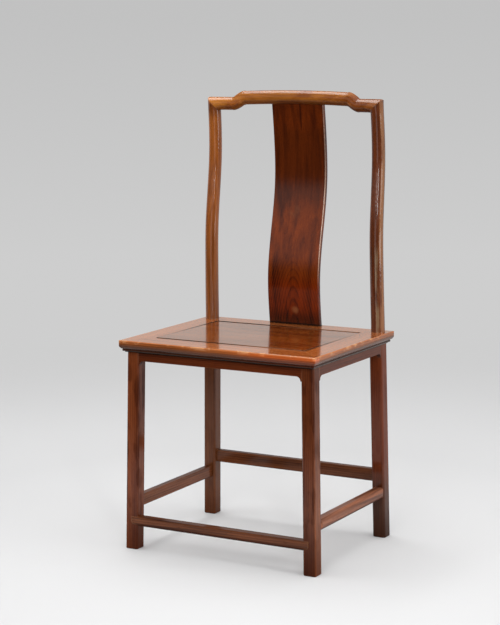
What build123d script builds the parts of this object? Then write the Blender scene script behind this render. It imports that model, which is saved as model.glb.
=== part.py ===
from build123d import *
from math import copysign, sqrt
import os

os.makedirs("parts", exist_ok=True)

# Seat frame, with its top at sitting height
seat_height = 500
seat_width = 513
seat_depth = 414
seat_thickness = 28
front_rail_width = 69
rear_rail_width = 59
side_rail_width = 61

# Moulded outer edge of the seat frame, from the top arris down to the underside
edge_round = 3
edge_face = 6
edge_sweep_in = 7.3
edge_sweep_drop = 11.5
edge_step = 0.8
bead_height = 5
bead_bulge = 1
edge_foot_in = 4
seat_corner_round = 3

# Tenons that lock the mitred corners of the seat frame
corner_tenon_thickness = 8
corner_tenon_rise = 6
corner_tenon_end_wall = 16
corner_tenon_side_wall = 4
corner_tenon_edge_wall = 4.5

# Floating seat panel in the groove of the frame
panel_thickness = 12
panel_tongue_thickness = 5
panel_tongue_reach = 7
panel_gap = 0.8
panel_edge_round = 0.5
panel_front_rise = 1
panel_rear_drop = 1
groove_slack = 1

# Battens keyed across the underside of the panel
batten_width = 26
batten_spacing = 170
batten_key_height = 3
batten_key_neck = 16
batten_key_head = 20
batten_tenon_width = 16
batten_tenon_thickness = 8
batten_tenon_rise = 3
batten_tenon_reach = 12

# Legs, square in section, set in under the frame and splayed to the floor
leg_side = 32.2
side_overhang = 12.7
front_overhang = 17.8
rear_overhang = 14.1
side_splay = 8.8
end_splay = 7.2
leg_round = 5
foot_chamfer = 1.5
leg_tenon_side = 15
leg_tenon_height = 18
neck_side = 24

# Back posts, one timber with the rear legs, round and gently bent
post_foot_radius = 16.7
post_top_radius = 15.8
post_lean_in = 7.8
post_height = 516
post_forward = 4.6
post_forward_height = 205
post_back = 11.8
post_back_height = 425
post_top_back = 6.4
post_foot_slope_share = -0.03
post_top_slope_share = -0.107
post_tenon_side = 15
post_tenon_height = 27

# Crest rail, raised in the middle, bowed back and mitred to the posts
crest_end_rise = 17
crest_raise = 14
crest_crown = 2.6
crest_bow = 21.5
crest_half_height = 16.5
crest_half_depth = 14
crest_step_inner = 138
crest_step_outer = 172
crest_elbow_length = 26
crest_tip_round = 10
crest_tip_clear = 0.5

# Splat, a bent board between the seat frame and the crest rail
splat_width = 139
splat_thickness = 12
splat_round = 2.5
splat_foot_inset = 17.3
splat_waist_inset = 26.4
splat_waist_height = 105
splat_belly_height = 370
splat_back_reach = 18.7
splat_foot_slope_share = -0.13
splat_top_slope_share = -0.135
splat_tongue_thickness = 6
splat_tongue_depth = 10
splat_tongue_shoulder = 6

# Aprons under the frame between the legs
apron_height = 20.5
apron_thickness = 10
apron_setback = 0.5
apron_ear_drop = 10.5
apron_ear_width = 1.5
apron_corner_round = 10
apron_tongue_thickness = 4
apron_tongue_reach = 6
apron_top_tongue = 4
apron_top_tongue_inset = 12

# Stretchers, lowest at the front and highest at the rear
stretcher_depth = 23
front_stretcher_low = 56
front_stretcher_height = 23.8
side_stretcher_low = 97.3
side_stretcher_height = 27.5
rear_stretcher_low = 135.5
rear_stretcher_height = 30
front_stretcher_proud = 2
front_stretcher_lap = 15
front_lap_round = 14
stretcher_top_round = 9
stretcher_low_round = 11
front_top_round = 3
stretcher_inner_round = 1.5
stretcher_end_round = 6
stretcher_tenon_thickness = 9
stretcher_tenon_shoulder = 5
stretcher_tenon_reach = 20

# Counts of the sections that shape the bent pieces
post_sections_per_bend = 4
splat_points_per_bend = 5
crest_step_sections = 4
crest_middle_sections = 6

# Places that follow from the sizes above
overall_depth = seat_depth + splat_back_reach
front_y = -overall_depth / 2
rear_y = front_y + seat_depth
frame_under = seat_height - seat_thickness
apron_low = frame_under - apron_height
panel_under = seat_height - panel_thickness
opening_x = seat_width / 2 - side_rail_width
opening_front = front_y + front_rail_width
opening_rear = rear_y - rear_rail_width
leg_x = seat_width / 2 - side_overhang - leg_side / 2
leg_y = {-1: front_y + front_overhang + leg_side / 2, 1: rear_y - rear_overhang - leg_side / 2}
post_joint_height = seat_height + post_height
post_top_x = leg_x - post_lean_in
sides = {"left": -1, "right": 1}
ends = {"front": -1, "rear": 1}


# Offset of a bent piece at a height, eased between stations of height, offset and slope
def bent(height, stations):
    for low, high in zip(stations, stations[1:]):
        if height <= high[0]:
            break
    span = high[0] - low[0]
    t = (height - low[0]) / span
    start = low[1] + t * t * (3 - 2 * t) * (high[1] - low[1])
    return start + span * (low[2] * t * (1 - t) ** 2 - high[2] * t * t * (1 - t))


# Slope of the bent piece at a height, from the offsets just above and below it
def bent_slope(height, stations):
    small = (stations[-1][0] - stations[0][0]) / 1000
    low = max(height - small, stations[0][0])
    high = min(height + small, stations[-1][0])
    return (bent(high, stations) - bent(low, stations)) / (high - low)


# Heights that pass through every station, with even steps between them
def heights_through(stations, steps):
    heights = [stations[0][0]]
    for low, high in zip(stations, stations[1:]):
        heights += [low[0] + (high[0] - low[0]) * (k + 1) / steps for k in range(steps)]
    return heights


# A share from 0 to 1 that follows two equal arcs, and its slope
def eased(share):
    return 2 * share * share if 2 * share < 1 else 1 - 2 * (1 - share) ** 2


def eased_slope(share):
    return 4 * min(share, 1 - share)


# Centre of a leg at a height
def leg_centre(side, end, height):
    out = (frame_under - height) / frame_under
    return side * (leg_x + side_splay * out), leg_y[end] + end * end_splay * out


# Place along X of the inner face of a leg on one side
def inner_x(side, height):
    return leg_centre(side, 1, height)[0] - side * leg_side / 2


# Place along Y of the inner face of a leg at one end
def inner_y(end, height):
    return leg_centre(1, end, height)[1] - end * leg_side / 2


# A block between two corners, as its centre and its size
def block(low, high):
    centre = tuple((a + b) / 2 for a, b in zip(low, high))
    size = tuple(abs(b - a) for a, b in zip(low, high))
    return centre, size


# Curves of the post, the splat and the crest rail
post_curve = [
    (seat_height, leg_y[1], post_foot_slope_share),
    (seat_height + post_forward_height, leg_y[1] - post_forward, 0),
    (seat_height + post_back_height, leg_y[1] + post_back, 0),
    (post_joint_height, leg_y[1] + post_top_back, post_top_slope_share),
]
crest_end_y = leg_y[1] + post_top_back + post_top_slope_share * crest_end_rise
crest_end_z = post_joint_height + crest_end_rise
crest_middle_z = crest_end_z + crest_raise + crest_crown
crest_end_x = post_top_x - post_lean_in * crest_end_rise / post_height
crest_straight_x = crest_end_x - crest_elbow_length
splat_curve = [
    (seat_height, rear_y - splat_foot_inset, splat_foot_slope_share),
    (seat_height + splat_waist_height, rear_y - splat_waist_inset, 0),
    (seat_height + splat_belly_height, rear_y + splat_back_reach - splat_thickness / 2, 0),
    (crest_middle_z, crest_end_y + crest_bow, splat_top_slope_share),
]


# Centre of a post at a height
def post_centre(side, height):
    lean = post_lean_in * (height - seat_height) / post_height
    return side * (leg_x - lean), bent(height, post_curve)


# Section of the crest rail and of a post at the mitre between them, on the right
def mitre_section():
    end = (crest_end_x, crest_end_y, crest_end_z)
    with BuildSketch(Plane(origin=end, x_dir=(0, 1, 0), z_dir=(1, 0, -1))) as section:
        Ellipse(post_top_radius, post_top_radius * sqrt(2))
    return section.sketch


# Top of a post from its last round section up to the mitre
def post_head(side):
    foot = (*post_centre(1, post_joint_height), post_joint_height)
    with BuildSketch(Plane(origin=foot, x_dir=(0, 1, 0), z_dir=(0, 0, -1))) as section:
        Ellipse(post_top_radius, post_top_radius)
    head = loft([mitre_section(), section.sketch], mode=Mode.PRIVATE)
    return head if side > 0 else mirror(head, about=Plane.YZ, mode=Mode.PRIVATE)


# What is taken off to round the outer top corner over a mitre
def corner_waste(side):
    reach = post_top_radius + crest_tip_clear - crest_tip_round
    outward = Align.MIN if side > 0 else Align.MAX
    with BuildPart(mode=Mode.PRIVATE) as waste:
        with BuildSketch(Plane.XZ.offset(-crest_end_y)):
            with Locations((side * (crest_end_x + reach), crest_end_z + reach)):
                Rectangle(2 * crest_tip_round, 2 * crest_tip_round, align=(outward, Align.MIN))
                Circle(crest_tip_round, mode=Mode.SUBTRACT)
        extrude(amount=2 * post_top_radius, both=True)
    return waste.part


# Tenon on top of a post, up through the mitre into the crest rail
def post_tenon(side):
    x, y = post_centre(side, post_joint_height)
    half = post_tenon_side / 2
    top = post_joint_height + post_tenon_height
    return block((x - half, y - half, post_joint_height), (x + half, y + half, top))


# Section of the crest rail at a place along X, square to its path where that steps up or down
def crest_section(x):
    run = crest_step_outer - crest_step_inner
    share = min(max((crest_step_outer - abs(x)) / run, 0), 1)
    crown = crest_crown * max(1 - (x / crest_step_inner) ** 2, 0)
    y = crest_end_y + crest_bow * (1 - (x / crest_end_x) ** 2)
    z = crest_end_z + crest_raise * eased(share) + crown
    slope = -crest_raise / run * eased_slope(share)
    half_height = post_top_radius + (crest_half_height - post_top_radius) * eased(share)
    half_depth = post_top_radius + (crest_half_depth - post_top_radius) * eased(share)
    with BuildSketch(Plane(origin=(x, y, z), x_dir=(0, 1, 0), z_dir=(1, 0, copysign(slope, -x)))) as section:
        Ellipse(half_depth, half_height)
    return section.sketch


# Add or cut a list of blocks
def put(blocks, mode=Mode.ADD):
    for centre, size in blocks:
        with Locations(centre):
            Box(*size, mode=mode)


# Tenons of the stretchers, one block for each leg that they enter
def cross_tenon(side, end, low, height, proud):
    z0 = low + stretcher_tenon_shoulder
    z1 = low + height - stretcher_tenon_shoulder
    face = leg_centre(side, end, low + height / 2)[1] + end * (leg_side / 2 + proud)
    middle = face - end * stretcher_depth / 2
    root = inner_x(side, low) - side * stretcher_tenon_reach / 2
    tip = inner_x(side, low) + side * stretcher_tenon_reach
    half = stretcher_tenon_thickness / 2
    return block((root, middle - half, z0), (tip, middle + half, z1))


def side_tenon(side, end):
    z0 = side_stretcher_low + stretcher_tenon_shoulder
    z1 = side_stretcher_low + side_stretcher_height - stretcher_tenon_shoulder
    face = leg_centre(side, end, side_stretcher_low + side_stretcher_height / 2)[0] + side * leg_side / 2
    middle = face - side * stretcher_depth / 2
    root = inner_y(end, side_stretcher_low) - end * stretcher_tenon_reach / 2
    tip = inner_y(end, side_stretcher_low) + end * stretcher_tenon_reach
    half = stretcher_tenon_thickness / 2
    return block((middle - half, root, z0), (middle + half, tip, z1))


cross_stretchers = {
    "front": (front_stretcher_low, front_stretcher_height, front_stretcher_proud),
    "rear": (rear_stretcher_low, rear_stretcher_height, 0),
}


# Middle plane of an apron, set back from the outer faces of its legs
def apron_y(end):
    return leg_centre(1, end, frame_under)[1] + end * (leg_side / 2 - apron_setback - apron_thickness / 2)


def apron_x(side):
    return leg_centre(side, 1, frame_under)[0] + side * (leg_side / 2 - apron_setback - apron_thickness / 2)


# End tongues of the aprons, one block for each leg that they enter
def cross_apron_tongue(side, end):
    half = apron_tongue_thickness / 2
    root = inner_x(side, frame_under) - side * apron_tongue_reach / 2
    tip = inner_x(side, frame_under) + side * apron_tongue_reach
    return block((root, apron_y(end) - half, apron_low), (tip, apron_y(end) + half, frame_under))


def side_apron_tongue(side, end):
    half = apron_tongue_thickness / 2
    root = inner_y(end, frame_under) - end * apron_tongue_reach / 2
    tip = inner_y(end, frame_under) + end * apron_tongue_reach
    return block((apron_x(side) - half, root, apron_low), (apron_x(side) + half, tip, frame_under))


# Top tongues of the aprons, let into the underside of the frame
def cross_top_tongue(end):
    half = apron_tongue_thickness / 2
    reach = inner_x(1, frame_under) - apron_top_tongue_inset
    return block((-reach, apron_y(end) - half, frame_under - apron_top_tongue),
                 (reach, apron_y(end) + half, frame_under + apron_top_tongue))


def side_top_tongue(side):
    half = apron_tongue_thickness / 2
    start = inner_y(-1, frame_under) + apron_top_tongue_inset
    stop = inner_y(1, frame_under) - apron_top_tongue_inset
    return block((apron_x(side) - half, start, frame_under - apron_top_tongue),
                 (apron_x(side) + half, stop, frame_under + apron_top_tongue))


# Tenons of the front and rear rails that cross the mitres into the side rails
def corner_tenon(side, end):
    inner = opening_front if end < 0 else opening_rear
    near = inner + end * corner_tenon_edge_wall
    held = leg_tenon_side if end < 0 else neck_side
    far = leg_y[end] - end * (held / 2 + corner_tenon_side_wall)
    z0 = frame_under + corner_tenon_rise
    root = side * (opening_x - corner_tenon_end_wall)
    tip = side * (seat_width / 2 - corner_tenon_end_wall)
    return block((root, near, z0), (tip, far, z0 + corner_tenon_thickness))


# What passes through or into each corner of the frame from below
def corner_mortise(side, end):
    held = leg_tenon_side if end < 0 else neck_side
    rise = leg_tenon_height if end < 0 else seat_thickness
    half = held / 2
    x, y = side * leg_x, leg_y[end]
    return block((x - half, y - half, frame_under), (x + half, y + half, frame_under + rise))


# Tenons on both ends of a batten
def batten_tenon(x, end):
    inner = opening_front if end < 0 else opening_rear
    z0 = frame_under + batten_tenon_rise
    half = batten_tenon_width / 2
    return block((x - half, inner - end * batten_tenon_reach, z0),
                 (x + half, inner + end * batten_tenon_reach, z0 + batten_tenon_thickness))


# Tongue of the splat at one of its ends, between two heights
def splat_tongue(station, low, high):
    x = splat_width / 2 - splat_tongue_shoulder
    half = splat_tongue_thickness / 2
    return block((-x, station[1] - half, low), (x, station[1] + half, high))


# The lower tongue stands in the rear rail, and the upper one in the crest rail
crest_under = crest_middle_z - crest_half_height
splat_root = splat_tongue_depth / 2
splat_foot_tongue = splat_tongue(splat_curve[0], seat_height - splat_tongue_depth, seat_height + splat_root)
splat_head_tongue = splat_tongue(splat_curve[-1], crest_under - splat_root, crest_under + splat_tongue_depth)


# Section of a lower leg at a height
def leg_section(side, end, height):
    x, y = leg_centre(side, end, height)
    with BuildSketch(Plane(origin=(x, y, height))) as section:
        RectangleRounded(leg_side, leg_side, leg_round)
    return section.sketch


# Both ends of a lower leg, to loft it or to cut what is scribed to it
def leg_sections(side, end):
    return [leg_section(side, end, height) for height in (0, frame_under)]


# Mortises of one leg for its two stretchers and its two aprons
def leg_mortises(side, end):
    low, height, proud = cross_stretchers["front" if end < 0 else "rear"]
    return [
        cross_tenon(side, end, low, height, proud),
        side_tenon(side, end),
        cross_apron_tongue(side, end),
        side_apron_tongue(side, end),
    ]


# Front legs with a tenon up into the frame
for name, side in sides.items():
    with BuildPart() as front_leg:
        loft(leg_sections(side, -1))
        chamfer(front_leg.edges().group_by(Axis.Z)[0], foot_chamfer)
        put(leg_mortises(side, -1), Mode.SUBTRACT)
        put([corner_mortise(side, -1)])
    front_leg.part.label = "front_leg_" + name
    export_step(front_leg.part, "parts/front_leg_" + name + ".step")

# Rear legs, which pass the frame as a square neck and go on as round, bent posts
for name, side in sides.items():
    with BuildPart() as rear_post:
        loft(leg_sections(side, 1))
        chamfer(rear_post.edges().group_by(Axis.Z)[0], foot_chamfer)
        put(leg_mortises(side, 1), Mode.SUBTRACT)
        for height in heights_through(post_curve, post_sections_per_bend):
            x, y = post_centre(side, height)
            share = (height - seat_height) / post_height
            with BuildSketch(Plane(origin=(x, y, height))):
                Circle(post_foot_radius + (post_top_radius - post_foot_radius) * share)
        loft()
        add(post_head(side))
        add(corner_waste(side), mode=Mode.SUBTRACT)
        put([corner_mortise(side, 1), post_tenon(side)])
    rear_post.part.label = "rear_leg_post_" + name
    export_step(rear_post.part, "parts/rear_leg_post_" + name + ".step")


# Section of a frame rail: flat inside, moulded outside, with a bead above the underside
def rail_section(plane, width):
    with BuildSketch(plane) as section:
        with BuildLine():
            face_end = edge_round + edge_face
            sweep_end = face_end + edge_sweep_drop
            bead_in = edge_sweep_in + edge_step
            bead_end = sweep_end + bead_height
            foot_in = bead_in + edge_foot_in
            Line((width - panel_edge_round, 0), (edge_round, 0))
            RadiusArc((edge_round, 0), (0, -edge_round), -edge_round)
            Line((0, -edge_round), (0, -face_end))
            TangentArc((0, -face_end), (edge_sweep_in, -sweep_end), tangent=(0, -1))
            Line((edge_sweep_in, -sweep_end), (bead_in, -sweep_end))
            bead_crown = (bead_in - bead_bulge, -(sweep_end + bead_end) / 2)
            ThreePointArc((bead_in, -sweep_end), bead_crown, (bead_in, -bead_end))
            Line((bead_in, -bead_end), (foot_in, -bead_end))
            corners = [(foot_in, -bead_end), (foot_in, -seat_thickness), (width, -seat_thickness)]
            Polyline(*corners, (width, -panel_edge_round))
            RadiusArc((width, -panel_edge_round), (width - panel_edge_round, 0), -panel_edge_round)
        make_face()
    return section.sketch


# Block as wide as the opening of the frame and a reach all round it
def opening_block(reach, low, high):
    x = opening_x + reach
    return block((-x, opening_front - reach, low), (x, opening_rear + reach, high))


# Blank of the frame seen from above, with its corners eased
def frame_plan():
    with BuildSketch(Plane.XY.offset(frame_under)) as plan:
        with Locations((0, (front_y + rear_y) / 2)):
            RectangleRounded(seat_width, seat_depth, seat_corner_round)
    return plan.sketch


# Groove for the tongue of the panel, all round the opening
tongue_top = panel_under + panel_tongue_thickness
groove = opening_block(panel_tongue_reach + groove_slack, panel_under, tongue_top)
batten_places = {"left": -batten_spacing / 2, "right": batten_spacing / 2}

# Front and rear rails of the frame, mitred, with tenons at both ends
for name, end in ends.items():
    outer = front_y if end < 0 else rear_y
    inner = opening_front if end < 0 else opening_rear
    with BuildPart() as cross_rail:
        plane = Plane(origin=(0, outer, seat_height), x_dir=(0, -end, 0), z_dir=(-end, 0, 0))
        extrude(rail_section(plane, abs(outer - inner)), amount=seat_width / 2, both=True)
        with BuildSketch(Plane.XY.offset(frame_under)):
            with BuildLine():
                tips = [(-seat_width / 2, outer), (seat_width / 2, outer)]
                Polyline(*tips, (opening_x, inner), (-opening_x, inner), close=True)
            make_face()
        extrude(amount=seat_thickness, mode=Mode.INTERSECT)
        extrude(frame_plan(), amount=seat_thickness, mode=Mode.INTERSECT)
        put([corner_tenon(side, end) for side in sides.values()])
        cuts = [groove, cross_top_tongue(end)]
        cuts += [corner_mortise(side, end) for side in sides.values()]
        cuts += [batten_tenon(x, end) for x in batten_places.values()]
        if end > 0:
            cuts.append(splat_foot_tongue)
        put(cuts, Mode.SUBTRACT)
    cross_rail.part.label = "seat_rail_" + name
    export_step(cross_rail.part, "parts/seat_rail_" + name + ".step")

# Side rails of the frame, mitred, with mortises for the corner tenons
for name, side in sides.items():
    outer = side * seat_width / 2
    with BuildPart() as side_rail:
        middle_y = (front_y + rear_y) / 2
        plane = Plane(origin=(outer, middle_y, seat_height), x_dir=(-side, 0, 0), z_dir=(0, side, 0))
        extrude(rail_section(plane, side_rail_width), amount=seat_depth / 2, both=True)
        with BuildSketch(Plane.XY.offset(frame_under)):
            with BuildLine():
                inner_edge = [(side * opening_x, opening_rear), (side * opening_x, opening_front)]
                Polyline((outer, front_y), (outer, rear_y), *inner_edge, close=True)
            make_face()
        extrude(amount=seat_thickness, mode=Mode.INTERSECT)
        extrude(frame_plan(), amount=seat_thickness, mode=Mode.INTERSECT)
        cuts = [groove, side_top_tongue(side)]
        cuts += [corner_mortise(side, end) for end in ends.values()]
        cuts += [corner_tenon(side, end) for end in ends.values()]
        put(cuts, Mode.SUBTRACT)
    side_rail.part.label = "seat_rail_" + name
    export_step(side_rail.part, "parts/seat_rail_" + name + ".step")


# Section of a batten, or only of its dovetail key, at a place along X
def batten_outline(x, key_only):
    key = [
        (x + batten_key_neck / 2, panel_under),
        (x + batten_key_head / 2, panel_under + batten_key_height),
        (x - batten_key_head / 2, panel_under + batten_key_height),
        (x - batten_key_neck / 2, panel_under),
    ]
    body = [
        (x - batten_width / 2, panel_under),
        (x - batten_width / 2, frame_under),
        (x + batten_width / 2, frame_under),
        (x + batten_width / 2, panel_under),
    ]
    return key if key_only else key + body


# Seat panel, level with the frame at its middle, with a tongue all round and housings for the battens
with BuildPart() as seat_panel:
    with BuildSketch(Plane.YZ):
        with BuildLine():
            panel_front = opening_front + panel_gap
            panel_rear = opening_rear - panel_gap
            corners = [(panel_front, panel_under), (panel_rear, panel_under)]
            corners.append((panel_rear, seat_height - panel_rear_drop))
            corners.append((panel_front, seat_height + panel_front_rise))
            Polyline(*corners, close=True)
        make_face()
    extrude(amount=opening_x - panel_gap, both=True)
    fillet(seat_panel.faces().sort_by(Axis.Z)[-1].edges(), panel_edge_round)
    put([opening_block(panel_tongue_reach, panel_under, tongue_top)])
    for x in batten_places.values():
        with BuildSketch(Plane.XZ):
            with BuildLine():
                Polyline(*batten_outline(x, True), close=True)
            make_face()
        extrude(amount=seat_depth, both=True, mode=Mode.SUBTRACT)
seat_panel.part.label = "seat_panel"
export_step(seat_panel.part, "parts/seat_panel.step")

# Battens, keyed to the panel and tenoned into the front and rear rails
for name, x in batten_places.items():
    with BuildPart() as batten:
        with BuildSketch(Plane.XZ.offset(-opening_front)):
            with BuildLine():
                Polyline(*batten_outline(x, False), close=True)
            make_face()
        extrude(amount=-(opening_rear - opening_front))
        put([batten_tenon(x, end) for end in ends.values()])
    batten.part.label = "seat_batten_" + name
    export_step(batten.part, "parts/seat_batten_" + name + ".step")


# Face of an apron between two leg faces, given as their places at a height, with ends over the legs' rounds
def apron_face(plane, start, stop):
    ear = apron_low - apron_ear_drop
    with BuildSketch(plane) as outline:
        with BuildLine():
            Polyline(
                (start(frame_under) - leg_round, frame_under),
                (start(ear) - leg_round, ear),
                (start(ear) + apron_ear_width, ear),
                (start(ear) + apron_ear_width, apron_low),
                (stop(ear) - apron_ear_width, apron_low),
                (stop(ear) - apron_ear_width, ear),
                (stop(ear) + leg_round, ear),
                (stop(frame_under) + leg_round, frame_under),
                close=True)
        make_face()
        inner_corners = outline.vertices().filter_by(lambda v: abs(v.Y - apron_low) < apron_ear_width / 2)
        fillet(inner_corners, apron_corner_round)
    return outline.sketch


# Front and rear aprons
for name, end in ends.items():
    with BuildPart() as cross_apron:
        face = apron_face(Plane.XZ.offset(-apron_y(end)), lambda z: inner_x(-1, z), lambda z: inner_x(1, z))
        extrude(face, amount=apron_thickness / 2, both=True)
        for side in sides.values():
            loft(leg_sections(side, end), mode=Mode.SUBTRACT)
        put([cross_apron_tongue(side, end) for side in sides.values()])
        put([cross_top_tongue(end)])
    cross_apron.part.label = "apron_" + name
    export_step(cross_apron.part, "parts/apron_" + name + ".step")

# Side aprons
for name, side in sides.items():
    with BuildPart() as side_apron:
        face = apron_face(Plane.YZ.offset(apron_x(side)), lambda z: inner_y(-1, z), lambda z: inner_y(1, z))
        extrude(face, amount=apron_thickness / 2, both=True)
        for end in ends.values():
            loft(leg_sections(side, end), mode=Mode.SUBTRACT)
        put([side_apron_tongue(side, end) for end in ends.values()])
        put([side_top_tongue(side)])
    side_apron.part.label = "apron_" + name
    export_step(side_apron.part, "parts/apron_" + name + ".step")


# Section of a stretcher: flat inside and on top, rounded outside, with its outer face at the plane's origin
def stretcher_section(plane, low, height, top_round):
    with BuildSketch(plane) as section:
        with Locations((stretcher_depth / 2, low + height / 2)):
            Rectangle(stretcher_depth, height)
        fillet(section.vertices().group_by(Axis.X)[-1], stretcher_inner_round)
        fillet(section.vertices().group_by(Axis.X)[0].sort_by(Axis.Y)[0], stretcher_low_round)
        fillet(section.vertices().group_by(Axis.X)[0].sort_by(Axis.Y)[-1], top_round)
    return section.sketch


# Front stretcher, whose proud outer skin laps over the front faces of the legs
with BuildPart() as front_stretcher:
    low, height, proud = cross_stretchers["front"]
    face_y = leg_centre(1, -1, low + height / 2)[1] - leg_side / 2 - proud
    reach = inner_x(1, low) + front_stretcher_lap
    plane = Plane(origin=(0, face_y, 0), x_dir=(0, 1, 0), z_dir=(1, 0, 0))
    extrude(stretcher_section(plane, low, height, front_top_round), amount=reach, both=True)
    with BuildSketch(Plane.XZ.offset(-face_y)) as lap_outline:
        with Locations((0, low + height / 2)):
            Rectangle(2 * reach, height)
        fillet(lap_outline.vertices().group_by(Axis.Y)[0], front_lap_round)
    extrude(amount=-stretcher_depth, mode=Mode.INTERSECT)
    for side in sides.values():
        loft(leg_sections(side, -1), mode=Mode.SUBTRACT)
    put([cross_tenon(side, -1, low, height, proud) for side in sides.values()])
front_stretcher.part.label = "stretcher_front"
export_step(front_stretcher.part, "parts/stretcher_front.step")

# Rear stretcher between the rear legs, its outer ends eased to the rounded legs
with BuildPart() as rear_stretcher:
    low, height, proud = cross_stretchers["rear"]
    face_y = leg_centre(1, 1, low + height / 2)[1] + leg_side / 2
    plane = Plane(origin=(0, face_y, 0), x_dir=(0, -1, 0), z_dir=(-1, 0, 0))
    extrude(stretcher_section(plane, low, height, stretcher_top_round), amount=inner_x(1, low), both=True)
    for level in (low, low + height):
        with BuildSketch(Plane.XY.offset(level)) as plan:
            with Locations((0, face_y - stretcher_depth / 2)):
                Rectangle(2 * inner_x(1, level), stretcher_depth)
            fillet(plan.vertices().group_by(Axis.Y)[-1], stretcher_end_round)
    loft(mode=Mode.INTERSECT)
    put([cross_tenon(side, 1, low, height, proud) for side in sides.values()])
rear_stretcher.part.label = "stretcher_rear"
export_step(rear_stretcher.part, "parts/stretcher_rear.step")

# Side stretchers between the front and rear legs
for name, side in sides.items():
    with BuildPart() as side_stretcher:
        low, height = side_stretcher_low, side_stretcher_height
        face_x = leg_centre(side, 1, low + height / 2)[0] + side * leg_side / 2
        middle_y = (inner_y(-1, low) + inner_y(1, low)) / 2
        plane = Plane(origin=(face_x, middle_y, 0), x_dir=(-side, 0, 0), z_dir=(0, side, 0))
        section = stretcher_section(plane, low, height, stretcher_top_round)
        extrude(section, amount=(inner_y(1, low) - inner_y(-1, low)) / 2, both=True)
        for level in (low, low + height):
            run = inner_y(1, level) - inner_y(-1, level)
            with BuildSketch(Plane.XY.offset(level)) as plan:
                with Locations((face_x - side * stretcher_depth / 2, inner_y(-1, level) + run / 2)):
                    Rectangle(stretcher_depth, run)
                fillet(plan.vertices().group_by(lambda v: round(v.X * side, 3))[-1], stretcher_end_round)
        loft(mode=Mode.INTERSECT)
        put([side_tenon(side, end) for end in ends.values()])
    side_stretcher.part.label = "stretcher_" + name
    export_step(side_stretcher.part, "parts/stretcher_" + name + ".step")

# Crest rail: the bowed middle, the two steps and the straight ends up to the mitres
crest_pace = (crest_step_outer - crest_step_inner) / crest_step_sections
crest_middle = [crest_step_inner * k / crest_middle_sections for k in range(1, crest_middle_sections + 1)]
crest_step = [crest_step_inner + crest_pace * k for k in range(crest_step_sections + 1)]
crest_end = [crest_step_outer, (crest_step_outer + crest_straight_x) / 2, crest_straight_x]
with BuildPart() as crest:
    loft([crest_section(x) for x in [-place for place in crest_middle[::-1]] + [0] + crest_middle])
    for places in (crest_step, crest_end):
        right_run = loft([crest_section(x) for x in places], mode=Mode.PRIVATE)
        add(right_run)
        mirror(right_run, about=Plane.YZ)
    right_end = loft([crest_section(crest_straight_x), mitre_section()], mode=Mode.PRIVATE)
    add(right_end)
    mirror(right_end, about=Plane.YZ)
    for side in sides.values():
        add(corner_waste(side), mode=Mode.SUBTRACT)
crest_blank = crest.part

# Splat, bent like the sitter's back, run on below the seat and then scribed to the seat and the crest rail
with BuildPart() as splat:
    with BuildSketch(Plane.YZ) as outline:
        edges = {-1: [], 1: []}
        for height in heights_through(splat_curve, splat_points_per_bend):
            slope = bent_slope(height, splat_curve)
            half = splat_thickness / 2 / sqrt(1 + slope * slope)
            for way, points in edges.items():
                points.append((bent(height, splat_curve) + way * half, height - way * half * slope))
        for points in edges.values():
            y, z = points[0]
            points.insert(0, (y - splat_foot_slope_share * splat_thickness, z - splat_thickness))
        with BuildLine():
            Spline(*edges[-1])
            Line(edges[-1][-1], edges[1][-1])
            Spline(*edges[1])
            Line(edges[1][0], edges[-1][0])
        make_face()
    extrude(amount=splat_width / 2, both=True)
    fillet(splat.edges().filter_by(GeomType.BSPLINE), splat_round)
    split(bisect_by=Plane.XY.offset(seat_height), keep=Keep.TOP)
    add(crest_blank, mode=Mode.SUBTRACT)
    put([splat_foot_tongue, splat_head_tongue])
splat.part.label = "splat"
export_step(splat.part, "parts/splat.step")

# Sockets of the crest rail for the two posts and the splat
with BuildPart() as crest_rail:
    add(crest_blank)
    put([post_tenon(side) for side in sides.values()] + [splat_head_tongue], Mode.SUBTRACT)
crest_rail.part.label = "crest_rail"
export_step(crest_rail.part, "parts/crest_rail.step")
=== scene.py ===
import math

import bpy
from mathutils import Matrix, Vector

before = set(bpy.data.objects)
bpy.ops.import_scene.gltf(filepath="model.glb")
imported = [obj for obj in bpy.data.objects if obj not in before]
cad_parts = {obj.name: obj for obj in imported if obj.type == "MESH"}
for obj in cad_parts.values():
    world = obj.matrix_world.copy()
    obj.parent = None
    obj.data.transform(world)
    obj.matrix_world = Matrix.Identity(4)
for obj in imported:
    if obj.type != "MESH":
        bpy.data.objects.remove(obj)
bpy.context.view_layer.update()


# The stage is a pale sheet of paper that rises into a wall all round, wide enough to hold every camera.
# The studio beyond the sheet's front edge is dark and unlit, and only reflections and bounced light see it:
# for them the sheet ahead of the chair and low down is painted near black, a painted shade.
SHEET_RADIUS = 6.0
SHEET_SIDES = 96
SHEET_BEND = 1.6
SHEET_STEPS = 12
SHEET_WALL = 3.4
# the paper's tone is painted paler under the chair, lightening the chair's shadow there, and darker up the
# wall, standing in for the fall of the lamps' light
SHEET_TONES = ((0.0, 0.77), (0.05, 0.68), (0.12, 0.612), (0.33, 0.622), (0.73, 0.617), (0.92, 0.60))
SHEET_TONE_REACH = 8.0
WALL_TONES = ((0.0, 1.0), (0.25, 0.90), (1.0, 0.80))
WALL_TONE_REACH = 5.0
PAPER_FIBRE_SCALE = 40.0
PAPER_FIBRE_SHARE = 0.01
PAPER_ROUGHNESS = 0.9
PAPER_SHINE = 0.1
STUDIO_DARK = (0.03, 0.03, 0.03, 1)
STUDIO_DARK_HEIGHTS = (2.0, 0.8)
SHEET_FRONT_FADE = (0.7, 1.7)
SHEET_LIT_REACH = (1.2, 3.0)
# a Mix node keeps its factor, its two colours and its mixed colour on these sockets
MIX_INPUTS = (0, 6, 7)
MIX_RESULT = 2


def clear_selection():
    """Leaves edit mode and deselects everything."""
    if bpy.context.mode != "OBJECT":
        bpy.ops.object.mode_set(mode="OBJECT")
    bpy.ops.object.select_all(action="DESELECT")


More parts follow.
